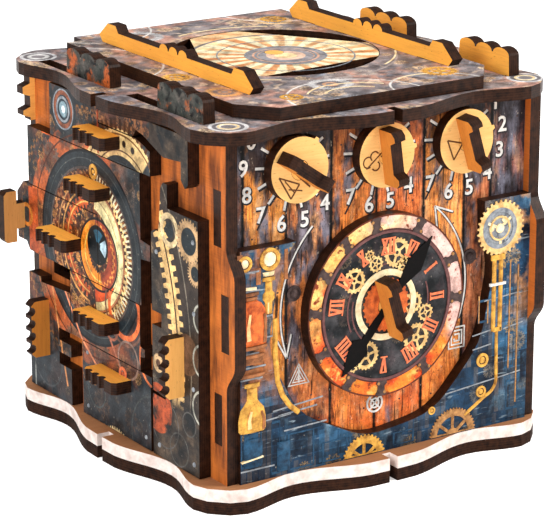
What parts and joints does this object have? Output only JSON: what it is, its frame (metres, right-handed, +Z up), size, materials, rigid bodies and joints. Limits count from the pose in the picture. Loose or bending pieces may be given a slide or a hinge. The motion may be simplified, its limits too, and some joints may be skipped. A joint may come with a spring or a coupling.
{
  "type": "cube puzzle box",
  "caption": "Cube wooden puzzle box: scalloped base and roof, turning front knobs and dial, interlocking side sliders, and a barred lid with a rotor over a hidden compartment.",
  "frame": {"origin": "middle of the underside of the lower base plate", "axes": "+Z up, +X along the front face to the right, +Y from the front face to the back"},
  "size_m": [0.134, 0.1346, 0.1288],
  "materials": {
    "raw_ply": "warm birch plywood, clear, satin, with burnt cut edges",
    "pale_ply": "pale birch plywood, satin, with engraved signs",
    "burnt_ply": "laser-burnt birch plywood, matt",
    "pale_edged_ply": "birch plywood with a pale painted edge, matt",
    "plank_print": "plywood printed with orange weathered planks, satin",
    "navy_print": "plywood printed in dark navy with gold pipework, satin",
    "slate_print": "plywood printed in slate grey with orange and cream gears, satin",
    "roof_print": "plywood printed in warm grey with cream and orange gears, satin",
    "dial_print": "plywood printed with a dark clock face in an orange ring, satin"
  },
  "bodies": {
    "box": {"base_lower_plate": "burnt_ply", "base_upper_plate": "pale_edged_ply", "left_wall": "raw_ply", "right_wall": "raw_ply", "right_outer_panel": "slate_print", "front_panel": "plank_print", "front_overlay": "navy_print", "back_wall": "raw_ply", "back_outer_panel": "slate_print", "roof_plate": "roof_print", "left_top_trim": "slate_print", "compartment_front": "raw_ply", "compartment_back": "raw_ply", "compartment_left": "raw_ply", "compartment_right": "raw_ply", "compartment_floor": "raw_ply"},
    "knob_1": {"knob_1_disc": "pale_ply", "knob_1_grip": "raw_ply", "knob_1_axle": "raw_ply", "knob_1_cam": "raw_ply"},
    "knob_2": {"knob_2_disc": "pale_ply", "knob_2_grip": "raw_ply", "knob_2_axle": "raw_ply", "knob_2_cam": "raw_ply"},
    "knob_3": {"knob_3_disc": "pale_ply", "knob_3_grip": "raw_ply", "knob_3_axle": "raw_ply", "knob_3_cam": "raw_ply"},
    "dial": {"dial_disc": "dial_print", "dial_grip": "raw_ply", "dial_axle": "raw_ply", "dial_cam": "raw_ply"},
    "slider_a": {"slider_a": "slate_print", "slider_a_grip": "raw_ply"},
    "slider_b": {"slider_b": "slate_print", "slider_b_grip": "raw_ply"},
    "slider_c": {"slider_c": "slate_print", "slider_c_grip": "raw_ply", "slider_c_pull": "raw_ply"},
    "slider_d": {"slider_d": "slate_print", "slider_d_grip": "raw_ply"},
    "slider_e": {"slider_e": "slate_print", "slider_e_grip": "raw_ply"},
    "slider_f": {"slider_f": "slate_print", "slider_f_grip": "raw_ply"},
    "slider_g": {"slider_g": "slate_print", "slider_g_grip": "raw_ply"},
    "roof_grip_left_near": {"roof_grip_left_near": "slate_print"},
    "roof_grip_left_far": {"roof_grip_left_far": "slate_print"},
    "roof_grip_right_near": {"roof_grip_right_near": "raw_ply"},
    "roof_grip_right_far": {"roof_grip_right_far": "raw_ply"},
    "lid": {"lid_plate": "roof_print", "lid_ring": "burnt_ply", "rotor_pin": "raw_ply"},
    "rotor": {"rotor": "roof_print"},
    "lid_bar_left": {"lid_bar_left": "raw_ply"},
    "lid_bar_right": {"lid_bar_right": "raw_ply"}
  },
  "joints": [
    {"name": "knob_1_turn", "type": "hinge", "parent": "box", "child": "knob_1", "pos_m": [-0.031, -0.056, 0.1028], "axis": [0, -1, 0], "continuous": true},
    {"name": "knob_2_turn", "type": "hinge", "parent": "box", "child": "knob_2", "pos_m": [0.0005, -0.056, 0.1028], "axis": [0, -1, 0], "continuous": true},
    {"name": "knob_3_turn", "type": "hinge", "parent": "box", "child": "knob_3", "pos_m": [0.0304, -0.056, 0.1028], "axis": [0, -1, 0], "continuous": true},
    {"name": "dial_turn", "type": "hinge", "parent": "box", "child": "dial", "pos_m": [0.001, -0.056, 0.0553], "axis": [0, -1, 0], "continuous": true},
    {"name": "slider_a_slide", "type": "slide", "parent": "box", "child": "slider_a", "axis": [0, 1, 0], "range_m": [0, 0.0145]},
    {"name": "slider_b_slide", "type": "slide", "parent": "box", "child": "slider_b", "axis": [0, 1, 0], "range_m": [0, 0.005]},
    {"name": "slider_c_slide", "type": "slide", "parent": "slider_b", "child": "slider_c", "axis": [0, 1, 0], "range_m": [0, 0.01]},
    {"name": "slider_d_slide", "type": "slide", "parent": "box", "child": "slider_d", "axis": [0, -1, 0], "range_m": [0, 0.004]},
    {"name": "slider_e_slide", "type": "slide", "parent": "box", "child": "slider_e", "axis": [0, 1, 0], "range_m": [0, 0.007]},
    {"name": "slider_f_slide", "type": "slide", "parent": "box", "child": "slider_f", "axis": [0, 0, 1], "range_m": [0, 0.007]},
    {"name": "slider_g_slide", "type": "slide", "parent": "box", "child": "slider_g", "axis": [0, 0, 1], "range_m": [0, 0.007]},
    {"name": "roof_grip_left_near_slide", "type": "slide", "parent": "box", "child": "roof_grip_left_near", "axis": [0, 1, 0], "range_m": [0, 0.02]},
    {"name": "roof_grip_left_far_slide", "type": "slide", "parent": "box", "child": "roof_grip_left_far", "axis": [0, 1, 0], "range_m": [0, 0.02]},
    {"name": "roof_grip_right_near_slide", "type": "slide", "parent": "box", "child": "roof_grip_right_near", "axis": [0, 1, 0], "range_m": [0, 0.02]},
    {"name": "roof_grip_right_far_slide", "type": "slide", "parent": "box", "child": "roof_grip_right_far", "axis": [0, 1, 0], "range_m": [0, 0.02]},
    {"name": "lid_lift", "type": "slide", "parent": "box", "child": "lid", "axis": [0, 0, 1], "range_m": [0, 0.08]},
    {"name": "rotor_turn", "type": "hinge", "parent": "lid", "child": "rotor", "pos_m": [0.002, 0.004, 0.12], "axis": [0, 0, 1], "continuous": true},
    {"name": "lid_bar_left_slide", "type": "slide", "parent": "lid", "child": "lid_bar_left", "axis": [0, 1, 0], "range_m": [-0.006, 0.006]},
    {"name": "lid_bar_right_slide", "type": "slide", "parent": "lid", "child": "lid_bar_right", "axis": [0, 1, 0], "range_m": [-0.006, 0.006]}
  ]
}
